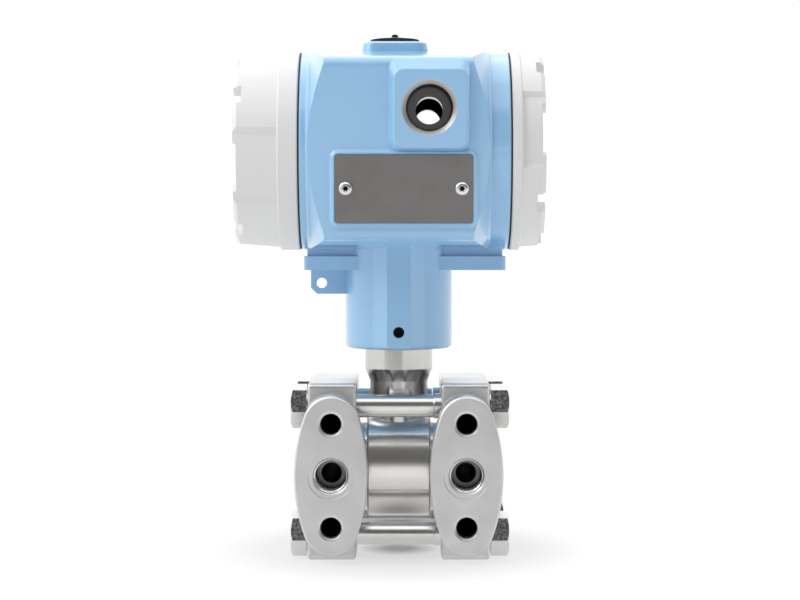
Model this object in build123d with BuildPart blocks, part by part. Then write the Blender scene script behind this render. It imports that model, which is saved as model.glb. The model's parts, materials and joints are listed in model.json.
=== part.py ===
from build123d import *
import os
from math import cos, degrees, radians, sin, sqrt, tan

# Differential pressure transmitter. Millimetres, +Z up, X to the right, the viewer in front at -Y.
# The origin is the centre of the four mounting holes, on the front oval faces of the flanges.

# Process flanges
port_spacing = 54.0
mount_rise = 41.3
flange_thick = 19.4
flange_side = 71.5
flange_corner = 2.0
flange_edge = 0.8
oval_proud = 17.25
oval_half_width = 14.6
oval_end_radius = 11.0
oval_edge = 0.7
mount_hole_radius = 4.25
rear_hole_radius = 4.95
mount_hole_depth = 18.0
mount_sink = 0.95
mount_sink_depth = 0.45
drill_point_angle = 118.0
port_radius = 6.9
port_depth = 15.0
port_chamfer = 0.6
port_face_radius = 9.2
port_face_depth = 0.35
drill_radius = 4.0
chamber_radius = 15.5
chamber_depth = 2.5

# Flange bolts
bolt_offset_y = 26.5
bolt_offset_z = 26.0
bolt_hole_radius = 5.5
bolt_shank_radius = 4.6
bolt_thread_radius = 5.0
bolt_thread_start = 14.5
hex_across_flats = 16.0
hex_turn = 12.0
hex_chamfer = 1.3
hex_chamfer_length = 0.78
bolt_head_height = 6.4
washer_face = 0.6
washer_face_radius = 7.4
nut_height = 7.4
nut_chamfer = 0.6
bolt_end_inset = 0.4
bolt_end_chamfer = 0.8
bolt_thread_lead = 0.4

# Cell and steel neck
drum_radius = 21.8
drum_half_length = 13.0
end_disc_radius = 19.5
drum_chamfer = 0.6
diaphragm_radius = 16.0
diaphragm_thick = 0.3
diaphragm_flat = 1.2
diaphragm_wave = 0.35
diaphragm_waves = 3
diaphragm_recess = 0.8
dish_depth = 0.9
gasket_inner_radius = 16.5
gasket_outer_radius = 18.5
gasket_thick = 1.2
neck_foot_radius = 12.0
neck_foot_height = 14.0
neck_cone_bottom = 34.9
neck_cone_top = 39.9
neck_radius = 14.0
neck_top_drop = 50.2
neck_top_chamfer = 1.0
wire_bore_radius = 5.0
wire_bore_bottom = 30.0
groove_radius = 12.8
groove_half_width = 2.9
seal_height = 68.0
seal_section = 1.1
seal_groove_radius = 11.7
seal_groove_half_width = 1.4

# Rear process plugs
plug_thread_length = 12.0
plug_across_flats = 14.0
plug_head_height = 7.0
plug_gap = 2.5
plug_neck_radius = 6.0
plug_end_chamfer = 0.8
plug_shoulder = 0.9

# Head: blue casting
head_height = 130.2
rim_radius = 41.1
rim_left = 40.1
rim_right = 45.1
rim_edge = 0.5
waist_half_depth = 42.5
waist_shoulder = 36.2
waist_corner = 4.5
flare_foot = 37.4
flare_lean = 0.555
flare_rise = 16.0
flare_fillet = 4.0
collar_radius = 22.25
collar_bottom = 48.4
collar_edge = 2.0
collar_overlap = 1.0
rib_reach = 25.5
rib_flat_half = 4.8
rib_foot_half = 10.6
set_screw_height = 55.8
set_screw_hole_radius = 2.25
set_screw_sunk = 3.5
set_screw_tip = 1.5
set_screw_tip_radius = 1.5
set_screw_socket_radius = 1.2
ledge_left = 39.0
ledge_right = 44.0
ledge_drop = 49.2
ledge_thick = 5.8
ledge_half_depth = 15.0
ledge_corner = 2.0
web_inset = 1.2
web_half_depth = 12.0
web_corner = 1.0
lug_left = 36.5
lug_drop = 59.3
lug_half_thick = 3.0
lug_corner = 2.5
lug_overlap = 1.0
lug_hole_x = -32.0
lug_hole_drop = 54.8
lug_hole_radius = 2.15

# Compartments
thread_bore_radius = 37.0
thread_bore_depth = 13.8
compartment_radius = 33.5
partition_left = 10.0
partition_right = 3.0
feed_radius = 9.0
feed_drop = 4.0
slot_overrun = 2.0
slot_left = 16.0
slot_right = 8.0
slot_half_depth = 5.0

# Conduit bosses
boss_proud = 4.5
boss_left = -2.1
boss_right = 27.7
boss_rise = 31.2
boss_corner = 4.3
boss_edge = 0.9
boss_root = 14.0
boss_draft_left = 1.9
boss_draft_right = 1.0
boss_draft_bottom = 1.3
boss_draft_top = 4.6
conduit_x = 12.25
conduit_rise = 16.1
conduit_radius = 9.3
conduit_depth = 12.5
conduit_chamfer = 1.8
passage_radius = 5.5
passage_drop_front = 0.7
passage_drop_rear = 3.5
passage_start = 0.5

# Nameplate
plate_x = 2.0
plate_drop = 16.1
plate_width = 55.0
plate_tall = 27.2
plate_thick = 0.8
plate_corner = 1.3
plate_sunk = 0.4
plate_pocket_margin = 0.3
seat_proud = 1.5
seat_margin = 0.9
seat_bevel = 1.3
plate_screw_half_span = 23.2
plate_screw_head_radius = 2.85
plate_screw_head_height = 1.8
plate_screw_radius = 1.4
plate_screw_length = 5.0

# Top pad, keys and flap
pad_x = -1.6
pad_width = 26.0
pad_length = 42.0
pad_rise = 44.2
pad_foot_rise = 35.8
pad_corner = 5.0
pad_draft = 10.0
pad_edge = 0.8
flap_screw_y = -12.5
key_first_y = -3.5
key_pitch = 9.0
key_radius = 3.0
key_hole_depth = 8.0
key_height = 6.2
key_below_pad = 0.3
key_dimple = 0.5
key_dimple_radius = 1.8
key_dimple_taper = 30.0
gasket_sheet_thick = 0.4
gasket_sheet_margin = 0.5
flap_width = 20.0
flap_length = 36.0
flap_edge_thick = 0.5
flap_crown = 0.7
flap_corner = 4.0
flap_seat_sink = 0.15
flap_washer_radius = 2.7
flap_washer_thick = 0.5
flap_screw_radius = 1.0
flap_screw_head_radius = 1.4
flap_screw_head_height = 1.3
flap_screw_depth = 5.0

# Screw covers
seal_thick = 0.6
seal_outer_radius = 40.7
spigot_length = 13.5
spigot_bore_radius = 33.0
left_reach = 26.2
right_reach = 13.6
left_rim_length = 8.3
right_rim_length = 4.2
land_step = 0.5
land_slope = 0.065
land_end_chamfer = 1.6
recess_depth = 1.5
recess_half_angle = 20.4
recess_wall_angle = 10.2
recess_left_phase = 191.0
recess_right_phase = 168.0
recess_set_back = 1.45
recess_clear = 4.5
recess_end_margin = 2.0
end_rim_radius = 33.0
end_sink = 3.3
notch_width = 8.0
end_wall = 4.0
window_radius = 24.0
window_bevel = 1.2
glass_radius = 27.5
glass_thick = 5.0
window_lip = 2.0
ring_thick = 2.6
ring_inner_radius = 24.6
ring_outer_radius = 28.9
ring_notch_width = 4.0

# Modules in the compartments
module_radius = 31.2
module_length = 21.0
module_edge = 1.5
module_screw_offset = 27.0
module_screw_radius = 1.5
module_screw_bite = 5.0
module_screw_head_radius = 2.8
module_screw_head_height = 2.2
display_radius = 29.5
display_thick = 9.0
display_gap = 12.0
display_post_radius = 3.0
display_post_circle = 24.0
panel_width = 40.0
panel_tall = 24.0
panel_thick = 1.6
terminal_width = 46.0
terminal_low = 22.0
terminal_high = 6.0
terminal_base = 8.0
terminal_corner = 2.0
terminal_wall_height = 8.0
terminal_wall_thick = 2.0
terminal_ways = 4
terminal_pitch = 9.0
terminal_screw_radius = 1.7
terminal_head_radius = 3.2
terminal_head_height = 2.2
clamp_size = 6.6
clamp_thick = 1.2
terminal_bite = 6.0
terminal_screw_drop = 4.0
terminal_wall_tall = 19.0
block_screw_radius = 1.4
block_screw_head_radius = 2.2
block_screw_offset = 14.0
block_screw_drop = 18.0
block_screw_bite = 5.0
ground_drop = 27.5
ground_screw_radius = 2.0
ground_head_radius = 3.8
ground_head_height = 2.6
ground_bite = 7.0
ground_clamp_width = 8.0
ground_clamp_tall = 6.6
screw_slot_width = 0.9
screw_drive_depth = 1.2
screw_head_chamfer = 0.4
screw_shank_chamfer = 0.3
screw_crown_share = 0.4
screw_side_share = 0.35
screw_bend_share = 0.8
screw_star_share = 0.5
screw_drive_share = 0.7

# Clearances
running_gap = 0.08
end_gap = 0.3

# Worked out from the sizes above
depth = flange_side + 2 * oval_proud
axis_depth = depth / 2
flange_inner = (port_spacing - flange_thick) / 2
flange_outer = (port_spacing + flange_thick) / 2
spigot_radius = thread_bore_radius - running_gap
boss_face = waist_half_depth + boss_proud
feed_height = head_height - feed_drop
neck_top = head_height - neck_top_drop
ledge_bottom = head_height - ledge_drop
lug_bottom = head_height - lug_drop
lug_hole_height = head_height - lug_hole_drop
boss_bottom = head_height
boss_top = head_height + boss_rise
conduit_height = head_height + conduit_rise
plate_height = head_height - plate_drop
pad_top = head_height + pad_rise
pad_foot = head_height + pad_foot_rise
head_axis = Axis((0, axis_depth, head_height), (1, 0, 0))
cell_axis = Axis((0, axis_depth, 0), (1, 0, 0))
neck_axis = Axis((0, axis_depth, 0), (0, 0, 1))
head_plane = Plane(origin=(0, axis_depth, head_height), x_dir=(1, 0, 0), z_dir=(0, 0, 1))
cell_plane = Plane(origin=(0, axis_depth, 0), x_dir=(1, 0, 0), z_dir=(0, 0, 1))
neck_plane = Plane(origin=(0, axis_depth, 0), x_dir=(1, 0, 0), z_dir=(0, -1, 0))


def facing_front(x, y, z):
    """Upright plane that faces the viewer: its x is X and its y is Z."""
    return Plane(origin=(x, y, z), x_dir=(1, 0, 0), z_dir=(0, -1, 0))


def facing_rear(x, y, z):
    """Upright plane that faces away from the viewer."""
    return Plane(origin=(x, y, z), x_dir=(-1, 0, 0), z_dir=(0, 1, 0))


def facing_up(x, z):
    """Level plane on the neck axis: its x is X and its y is Y."""
    return Plane(origin=(x, axis_depth, z), x_dir=(1, 0, 0), z_dir=(0, 0, 1))


def facing_side(x, z, side=1):
    """Plane across the X axis, its normal outwards on the given side: its x is Y."""
    return Plane(origin=(x, axis_depth, z), x_dir=(0, 1, 0), z_dir=(side, 0, 0))


def on_circle(radius, angle, side=1):
    """Point on a facing_side plane; the angle runs from +Y towards +Z."""
    return (radius * cos(radians(angle)), side * radius * sin(radians(angle)))


def keep(part, name):
    """Label a finished piece and write its file."""
    part.label = name
    export_step(part, "parts/" + name + ".step")


os.makedirs("parts", exist_ok=True)


def drilled(radius, length, sink, sink_depth):
    """Cutter for a hole that runs down from the origin: countersunk mouth, plain wall, drill point."""
    point = radius / tan(radians(drill_point_angle / 2))
    with BuildPart() as cutter:
        with BuildSketch(Plane.XZ):
            with BuildLine():
                Polyline(
                    (0, sink_depth),
                    (radius + 2 * sink, sink_depth),
                    (radius, -sink_depth),
                    (radius, -length),
                    (0, -length - point),
                    close=True,
                )
            make_face()
        revolve(axis=Axis.Z)
    return cutter.part


# Process flanges: a square block with an oval boss front and rear
def process_flange(side):
    """One process flange; side is -1 on the left and 1 on the right."""
    centre_x = side * port_spacing / 2
    hole_z = mount_rise / 2
    side_radius = (oval_half_width**2 + hole_z**2 - oval_end_radius**2) / (
        2 * (oval_half_width - oval_end_radius)
    )
    reach = side_radius / (side_radius - oval_end_radius)
    touch_x = (oval_half_width - side_radius) + reach * (side_radius - oval_half_width)
    touch_z = reach * hole_z
    with BuildPart() as flange:
        with BuildSketch(facing_side(centre_x, 0)):
            RectangleRounded(flange_side, flange_side, flange_corner)
        extrude(amount=flange_thick / 2, both=True)
        chamfer(flange.faces().filter_by(Axis.X).edges(), flange_edge)
        for face_y, inward in ((0, -1), (depth, 1)):
            with BuildSketch(facing_front(centre_x, face_y, 0)):
                with BuildLine():
                    ThreePointArc((touch_x, -touch_z), (oval_half_width, 0), (touch_x, touch_z))
                    ThreePointArc((touch_x, touch_z), (0, hole_z + oval_end_radius), (-touch_x, touch_z))
                    ThreePointArc((-touch_x, touch_z), (-oval_half_width, 0), (-touch_x, -touch_z))
                    ThreePointArc((-touch_x, -touch_z), (0, -hole_z - oval_end_radius), (touch_x, -touch_z))
                make_face()
            extrude(amount=inward * oval_proud)
        chamfer(flange.faces().sort_by(Axis.Y)[0].edges(), oval_edge)
        chamfer(flange.faces().sort_by(Axis.Y)[-1].edges(), oval_edge)
        for plane, tapped_radius in (
            (facing_front(centre_x, 0, 0), mount_hole_radius),
            (facing_rear(centre_x, depth, 0), rear_hole_radius),
        ):
            tapped_hole = drilled(tapped_radius, mount_hole_depth, mount_sink, mount_sink_depth)
            with Locations(plane.location):
                with Locations((0, hole_z), (0, -hole_z)):
                    add(tapped_hole, mode=Mode.SUBTRACT)
            with BuildSketch(plane):
                Circle(port_face_radius)
            extrude(amount=-port_face_depth, mode=Mode.SUBTRACT)
            with BuildSketch(plane):
                Circle(port_radius)
            extrude(amount=-port_depth, mode=Mode.SUBTRACT)
        mouths = flange.edges().filter_by(GeomType.CIRCLE)
        mouths = mouths.filter_by(lambda e: abs(e.radius - port_radius) < 0.01)
        mouths = mouths.filter_by(lambda e: abs(e.center().Y - axis_depth) > axis_depth - 2 * port_face_depth)
        chamfer(mouths, port_chamfer)
        with BuildSketch(facing_front(centre_x, 0, 0)):
            Circle(drill_radius)
        extrude(amount=-depth, mode=Mode.SUBTRACT)
        with BuildSketch(facing_side(centre_x, 0, -side)):
            Circle(drill_radius)
        extrude(amount=flange_thick / 2, mode=Mode.SUBTRACT)
        with BuildSketch(facing_side(side * flange_inner, 0, side)):
            Circle(chamber_radius)
        extrude(amount=chamber_depth, mode=Mode.SUBTRACT)
        with BuildSketch(facing_side(side * flange_inner, 0, side)):
            Circle(gasket_outer_radius)
            Circle(gasket_inner_radius, mode=Mode.SUBTRACT)
        extrude(amount=gasket_thick, mode=Mode.SUBTRACT)
        with BuildSketch(facing_side(centre_x, 0)):
            with GridLocations(2 * bolt_offset_y, 2 * bolt_offset_z, 2, 2):
                Circle(bolt_hole_radius)
        extrude(amount=flange_thick, both=True, mode=Mode.SUBTRACT)
    return flange.part


def gasket_ring(side):
    """Ring that fills the groove round a flange's chamber."""
    with BuildPart() as ring:
        with BuildSketch(facing_side(side * flange_inner, 0, side)):
            Circle(gasket_outer_radius)
            Circle(gasket_inner_radius, mode=Mode.SUBTRACT)
        extrude(amount=gasket_thick)
    return ring.part


for name, side in (("left", -1), ("right", 1)):
    keep(process_flange(side), name + "_flange")
    keep(gasket_ring(side), name + "_gasket")


def hex_block(across_flats, height, turn):
    """Hexagon prism along +X from the origin, with the outer corners turned off."""
    corner_radius = across_flats / sqrt(3)
    with BuildPart() as block:
        with BuildSketch(Plane.YZ):
            RegularPolygon(across_flats / 2, 6, major_radius=False, rotation=turn)
        extrude(amount=height)
        with BuildSketch(Plane.XY):
            with BuildLine():
                Polyline(
                    (0, 0),
                    (0, corner_radius),
                    (height - hex_chamfer_length, corner_radius),
                    (height, corner_radius - hex_chamfer),
                    (height, 0),
                    close=True,
                )
            make_face()
        revolve(axis=Axis.X, mode=Mode.INTERSECT)
    return block.part


# Four long bolts, heads on the left
bolt_places = [
    (0, axis_depth + y * bolt_offset_y, z * bolt_offset_z) for y in (-1, 1) for z in (-1, 1)
]
bolt_end = flange_outer + washer_face + nut_height - bolt_end_inset
with BuildPart() as bolt:
    with BuildSketch(Plane.XY):
        with BuildLine():
            Polyline(
                (-flange_outer - washer_face, 0),
                (-flange_outer - washer_face, washer_face_radius),
                (-flange_outer, washer_face_radius),
                (-flange_outer, bolt_shank_radius),
                (bolt_thread_start - bolt_thread_lead, bolt_shank_radius),
                (bolt_thread_start, bolt_thread_radius),
                (bolt_end - bolt_end_chamfer, bolt_thread_radius),
                (bolt_end, bolt_thread_radius - bolt_end_chamfer),
                (bolt_end, 0),
                close=True,
            )
        make_face()
    revolve(axis=Axis.X)
    with Locations(Location((-flange_outer - washer_face, 0, 0), (0, 0, 180))):
        add(hex_block(hex_across_flats, bolt_head_height, -hex_turn))
with BuildPart() as flange_bolts:
    with Locations(*bolt_places):
        add(bolt.part)
keep(flange_bolts.part, "flange_bolts")

with BuildPart() as nut:
    with BuildSketch(Plane.YZ.offset(flange_outer)):
        Circle(washer_face_radius)
    extrude(amount=washer_face)
    with Locations((flange_outer + washer_face, 0, 0)):
        add(hex_block(hex_across_flats, nut_height, hex_turn))
    with BuildSketch(Plane.YZ.offset(flange_outer)):
        Circle(bolt_thread_radius + running_gap)
    extrude(amount=washer_face + nut_height, mode=Mode.SUBTRACT)
    chamfer(nut.edges().filter_by(GeomType.CIRCLE).sort_by(Axis.X)[-1], nut_chamfer)
with BuildPart() as flange_nuts:
    with Locations(*bolt_places):
        add(nut.part)
keep(flange_nuts.part, "flange_nuts")

# Plugs in the two rear ports
with BuildPart() as plug:
    with BuildSketch(Plane.XY):
        with BuildLine():
            Polyline(
                (-plug_thread_length, 0),
                (-plug_thread_length, port_radius - running_gap - plug_end_chamfer),
                (-plug_thread_length + plug_end_chamfer, port_radius - running_gap),
                (-port_face_depth - port_chamfer, port_radius - running_gap),
                (-port_face_depth - port_chamfer + plug_shoulder, plug_neck_radius),
                (plug_gap, plug_neck_radius),
                (plug_gap, 0),
                close=True,
            )
        make_face()
    revolve(axis=Axis.X)
    with Locations((plug_gap, 0, 0)):
        add(hex_block(plug_across_flats, plug_head_height, 0))
with BuildPart() as rear_plugs:
    with Locations(
        Location((-port_spacing / 2, depth, 0), (0, 0, 90)),
        Location((port_spacing / 2, depth, 0), (0, 0, 90)),
    ):
        add(plug.part)
keep(rear_plugs.part, "rear_plugs")

# Cell: a turned drum with a smaller disc and a dished recess at each end
with BuildPart() as cell_body:
    with BuildSketch(cell_plane):
        with BuildLine():
            Polyline(
                (-flange_inner, 0),
                (-flange_inner, end_disc_radius),
                (-drum_half_length, end_disc_radius),
                (-drum_half_length, drum_radius - drum_chamfer),
                (-drum_half_length + drum_chamfer, drum_radius),
                (drum_half_length - drum_chamfer, drum_radius),
                (drum_half_length, drum_radius - drum_chamfer),
                (drum_half_length, end_disc_radius),
                (flange_inner, end_disc_radius),
                (flange_inner, 0),
                close=True,
            )
        make_face()
    revolve(axis=cell_axis)
    for side in (-1, 1):
        with BuildSketch(facing_side(side * flange_inner, 0, -side)):
            Circle(diaphragm_radius + running_gap)
        extrude(amount=diaphragm_recess, mode=Mode.SUBTRACT)
        with BuildSketch(facing_side(side * flange_inner, 0, -side)):
            Circle(diaphragm_radius - diaphragm_flat)
        extrude(amount=diaphragm_recess + dish_depth, mode=Mode.SUBTRACT)
    with BuildSketch(facing_up(0, neck_foot_height)):
        Circle(neck_foot_radius + running_gap)
    extrude(amount=drum_radius, mode=Mode.SUBTRACT)
keep(cell_body.part, "cell_body")


def diaphragm(side):
    """Thin disc with ring waves, on the floor of the recess in the cell's end."""
    floor_x = flange_inner - diaphragm_recess
    wave_radius = diaphragm_radius - diaphragm_flat
    step = wave_radius / (2 * diaphragm_waves + 1)
    waves = [
        (floor_x + (diaphragm_wave if turn % 2 else -diaphragm_wave), wave_radius - (turn + 0.5) * step)
        for turn in range(2 * diaphragm_waves)
    ]
    inner = [(floor_x, diaphragm_radius), (floor_x, wave_radius), *waves, (floor_x, step), (floor_x, 0)]
    with BuildPart() as disc:
        with BuildSketch(cell_plane):
            with BuildLine():
                Polyline(
                    *[(side * x, radius) for x, radius in inner],
                    *[(side * (x + diaphragm_thick), radius) for x, radius in reversed(inner)],
                    close=True,
                )
            make_face()
        revolve(axis=cell_axis)
    return disc.part


for name, side in (("left", -1), ("right", 1)):
    keep(diaphragm(side), name + "_diaphragm")

# Steel neck, turned in one piece, with a stop groove and a seal groove
with BuildPart() as cell_neck:
    with BuildSketch(neck_plane):
        with BuildLine():
            Polyline(
                (0, neck_foot_height),
                (neck_foot_radius, neck_foot_height),
                (neck_foot_radius, neck_cone_bottom),
                (neck_radius, neck_cone_top),
                (neck_radius, set_screw_height - groove_half_width),
                (groove_radius, set_screw_height - groove_half_width),
                (groove_radius, set_screw_height + groove_half_width),
                (neck_radius, set_screw_height + groove_half_width),
                (neck_radius, seal_height - seal_groove_half_width),
                (seal_groove_radius, seal_height - seal_groove_half_width),
                (seal_groove_radius, seal_height + seal_groove_half_width),
                (neck_radius, seal_height + seal_groove_half_width),
                (neck_radius, neck_top - neck_top_chamfer),
                (neck_radius - neck_top_chamfer, neck_top),
                (wire_bore_radius, neck_top),
                (wire_bore_radius, wire_bore_bottom),
                (0, wire_bore_bottom),
                close=True,
            )
        make_face()
    revolve(axis=neck_axis)
keep(cell_neck.part, "cell_neck")

seal_centre_radius = seal_groove_radius + seal_section + running_gap
with BuildPart() as neck_seal:
    with BuildSketch(neck_plane):
        with Locations((seal_centre_radius, seal_height)):
            Circle(seal_section)
    revolve(axis=neck_axis)
keep(neck_seal.part, "neck_seal")

# Head casting: the waist is a crowned block whose ends flare out of the round rims
with BuildPart() as housing:
    with BuildSketch(facing_side(-flare_foot, head_height)) as waist_section:
        with BuildLine():
            ThreePointArc(
                (-waist_half_depth, waist_shoulder), (0, rim_radius), (waist_half_depth, waist_shoulder)
            )
            Line((waist_half_depth, waist_shoulder), (waist_half_depth, -waist_shoulder))
            ThreePointArc(
                (waist_half_depth, -waist_shoulder), (0, -rim_radius), (-waist_half_depth, -waist_shoulder)
            )
            Line((-waist_half_depth, -waist_shoulder), (-waist_half_depth, waist_shoulder))
        make_face()
        fillet(waist_section.vertices(), waist_corner)
    extrude(amount=2 * flare_foot)
    flare_top = flare_foot - flare_lean * flare_rise
    with BuildSketch(head_plane) as flare:
        with BuildLine():
            Polyline(
                (-rim_left, 0),
                (-rim_left, rim_radius),
                (-flare_foot, rim_radius),
                (-flare_top, rim_radius + flare_rise),
                (flare_top, rim_radius + flare_rise),
                (flare_foot, rim_radius),
                (rim_left, rim_radius),
                (rim_left, 0),
                close=True,
            )
        make_face()
        bends = flare.vertices().filter_by(lambda v: abs(abs(v.X) - flare_foot) < 0.01)
        fillet(bends, flare_fillet)
    revolve(axis=head_axis, mode=Mode.INTERSECT)
    with BuildSketch(head_plane):
        with BuildLine():
            Polyline(
                (-rim_left, 0),
                (-rim_left, rim_radius - rim_edge),
                (-rim_left + rim_edge, rim_radius),
                (rim_right - rim_edge, rim_radius),
                (rim_right, rim_radius - rim_edge),
                (rim_right, 0),
                close=True,
            )
        make_face()
    revolve(axis=head_axis)

    # Blue neck with its front rib
    collar_top = head_height - compartment_radius - collar_overlap
    with BuildSketch(facing_up(0, collar_bottom)):
        Circle(collar_radius)
        rib_foot = sqrt(collar_radius**2 - rib_foot_half**2)
        with BuildLine():
            Polyline(
                (-rib_foot_half, -rib_foot),
                (-rib_flat_half, -rib_reach),
                (rib_flat_half, -rib_reach),
                (rib_foot_half, -rib_foot),
                (0, 0),
                close=True,
            )
        make_face()
    extrude(amount=collar_top - collar_bottom)
    fillet(housing.faces().sort_by(Axis.Z)[0].edges(), collar_edge)

    # Ledge, its web and the lug
    ledge_centre = (ledge_right - ledge_left) / 2
    ledge_length = ledge_right + ledge_left
    with BuildSketch(facing_up(ledge_centre, ledge_bottom)):
        RectangleRounded(ledge_length, 2 * ledge_half_depth, ledge_corner)
    extrude(amount=ledge_thick)
    with BuildSketch(facing_up(ledge_centre, ledge_bottom + ledge_thick)):
        RectangleRounded(ledge_length - 2 * web_inset, 2 * web_half_depth, web_corner)
    extrude(amount=collar_top - ledge_bottom - ledge_thick)
    with BuildSketch(facing_front(0, axis_depth, 0)):
        with BuildLine():
            Polyline(
                (-lug_left, ledge_bottom + lug_overlap),
                (-lug_left, lug_bottom + lug_corner),
                (-lug_left + lug_corner, lug_bottom),
                (0, lug_bottom),
                (0, ledge_bottom + lug_overlap),
                close=True,
            )
        make_face()
    extrude(amount=lug_half_thick, both=True)

    # Conduit bosses front and rear
    boss_x = (boss_left + boss_right) / 2
    boss_z = (boss_top + boss_bottom) / 2
    boss_wide = boss_right - boss_left
    boss_tall = boss_top - boss_bottom
    foot_x = boss_x + (boss_draft_right - boss_draft_left) / 2
    foot_z = boss_z + (boss_draft_top - boss_draft_bottom) / 2
    foot_wide = boss_wide + boss_draft_left + boss_draft_right
    foot_tall = boss_tall + boss_draft_top + boss_draft_bottom
    for way in (-1, 1):
        with BuildSketch(facing_front(foot_x, axis_depth + way * waist_half_depth, foot_z)):
            RectangleRounded(foot_wide, foot_tall, boss_corner)
        with BuildSketch(facing_front(boss_x, axis_depth + way * boss_face, boss_z)):
            RectangleRounded(boss_wide, boss_tall, boss_corner)
        loft()
        with BuildSketch(facing_front(foot_x, axis_depth + way * waist_half_depth, foot_z)):
            RectangleRounded(foot_wide, foot_tall, boss_corner)
        extrude(amount=way * boss_root)

    # Seat for the nameplate
    plate_face = waist_half_depth + seat_proud
    seat_wide = plate_width + 2 * seat_margin
    seat_tall = plate_tall + 2 * seat_margin
    with BuildSketch(facing_front(plate_x, axis_depth - waist_half_depth, plate_height)):
        RectangleRounded(
            seat_wide + 2 * seat_bevel, seat_tall + 2 * seat_bevel, plate_corner + seat_margin + seat_bevel
        )
    with BuildSketch(facing_front(plate_x, axis_depth - plate_face, plate_height)):
        RectangleRounded(seat_wide, seat_tall, plate_corner + seat_margin)
    loft()
    with BuildSketch(facing_front(plate_x, axis_depth - plate_face, plate_height)):
        RectangleRounded(
            plate_width + plate_pocket_margin, plate_tall + plate_pocket_margin, plate_corner
        )
    extrude(amount=-plate_sunk, mode=Mode.SUBTRACT)

    # Top pad
    with BuildSketch(facing_up(pad_x, pad_top)):
        RectangleRounded(pad_width, pad_length, pad_corner)
    extrude(amount=-(pad_top - pad_foot), taper=-pad_draft)
    chamfer(housing.faces().sort_by(Axis.Z)[-1].edges(), pad_edge)
    fillet(housing.faces().sort_by(Axis.Y)[0].outer_wire().edges(), boss_edge)
    fillet(housing.faces().sort_by(Axis.Y)[-1].outer_wire().edges(), boss_edge)

    # Compartments with their thread bores, and the way through the wall between them
    for side, rim_x, wall_x in ((-1, rim_left, partition_left), (1, rim_right, partition_right)):
        with BuildSketch(head_plane):
            with BuildLine():
                Polyline(
                    (side * wall_x, 0),
                    (side * wall_x, compartment_radius),
                    (side * (rim_x - thread_bore_depth), compartment_radius),
                    (side * (rim_x - thread_bore_depth), thread_bore_radius),
                    (side * rim_x, thread_bore_radius),
                    (side * rim_x, 0),
                    close=True,
                )
            make_face()
        revolve(axis=head_axis, mode=Mode.SUBTRACT)
    with BuildSketch(facing_side(partition_right, feed_height)):
        Circle(feed_radius)
    extrude(amount=-partition_left - partition_right, mode=Mode.SUBTRACT)

    # Bore for the steel neck, and the wire way from its top into the left compartment
    with BuildSketch(facing_up(0, collar_bottom)):
        Circle(neck_radius + running_gap)
    extrude(amount=neck_top + end_gap - collar_bottom, mode=Mode.SUBTRACT)
    with BuildSketch(facing_up(-(slot_left + slot_right) / 2, neck_top - slot_overrun)):
        Rectangle(slot_left - slot_right, 2 * slot_half_depth)
    extrude(
        amount=head_height - compartment_radius - neck_top + 2 * slot_overrun, mode=Mode.SUBTRACT
    )

    # Conduit entries, joined by one drilling that slopes down to the rear
    for way in (-1, 1):
        with BuildSketch(facing_front(conduit_x, axis_depth + way * boss_face, conduit_height)):
            Circle(conduit_radius)
        extrude(amount=way * conduit_depth, mode=Mode.SUBTRACT)
    mouths = housing.edges().filter_by(GeomType.CIRCLE)
    mouths = mouths.filter_by(lambda e: abs(e.radius - conduit_radius) < 0.01)
    mouths = mouths.filter_by(lambda e: abs(e.center().Y - axis_depth) > boss_face - 0.01)
    chamfer(mouths, conduit_chamfer)
    drilling_reach = boss_face - conduit_depth + passage_start
    drilling_fall = passage_drop_rear - passage_drop_front
    drilling_plane = Plane(
        origin=(conduit_x, axis_depth - drilling_reach, conduit_height - passage_drop_front),
        x_dir=(1, 0, 0),
        z_dir=(0, 2 * drilling_reach, -drilling_fall),
    )
    with BuildSketch(drilling_plane):
        Circle(passage_radius)
    extrude(amount=sqrt((2 * drilling_reach) ** 2 + drilling_fall**2), mode=Mode.SUBTRACT)

    # Holes for screws and keys
    with BuildSketch(facing_front(0, axis_depth - rib_reach, set_screw_height)):
        Circle(set_screw_hole_radius)
    extrude(amount=-(rib_reach - neck_radius), mode=Mode.SUBTRACT)
    with BuildSketch(facing_front(lug_hole_x, axis_depth, lug_hole_height)):
        Circle(lug_hole_radius)
    extrude(amount=lug_half_thick, both=True, mode=Mode.SUBTRACT)
    with BuildSketch(facing_front(plate_x, axis_depth - plate_face + plate_sunk, plate_height)):
        with GridLocations(2 * plate_screw_half_span, 0, 2, 1):
            Circle(plate_screw_radius + running_gap)
    extrude(amount=-plate_screw_length, mode=Mode.SUBTRACT)
    with BuildSketch(facing_up(pad_x, pad_top)):
        with Locations(*[(0, key_first_y + turn * key_pitch) for turn in range(3)]):
            Circle(key_radius + running_gap)
    extrude(amount=-key_hole_depth, mode=Mode.SUBTRACT)
    with BuildSketch(facing_up(pad_x, pad_top)):
        with Locations((0, flap_screw_y)):
            Circle(flap_screw_radius + running_gap)
    extrude(amount=-flap_screw_depth, mode=Mode.SUBTRACT)
    with BuildSketch(facing_side(-partition_left, head_height, -1)):
        with GridLocations(2 * module_screw_offset, 0, 2, 1):
            Circle(module_screw_radius + running_gap)
    extrude(amount=-module_screw_bite, mode=Mode.SUBTRACT)
    with BuildSketch(facing_side(partition_right, head_height)):
        with Locations((-block_screw_offset, -block_screw_drop), (block_screw_offset, -block_screw_drop)):
            Circle(block_screw_radius + running_gap)
    extrude(amount=-block_screw_bite, mode=Mode.SUBTRACT)
    with BuildSketch(facing_side(partition_right, head_height - ground_drop)):
        Circle(ground_screw_radius + running_gap)
    extrude(amount=-ground_bite, mode=Mode.SUBTRACT)
keep(housing.part, "housing")


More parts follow.
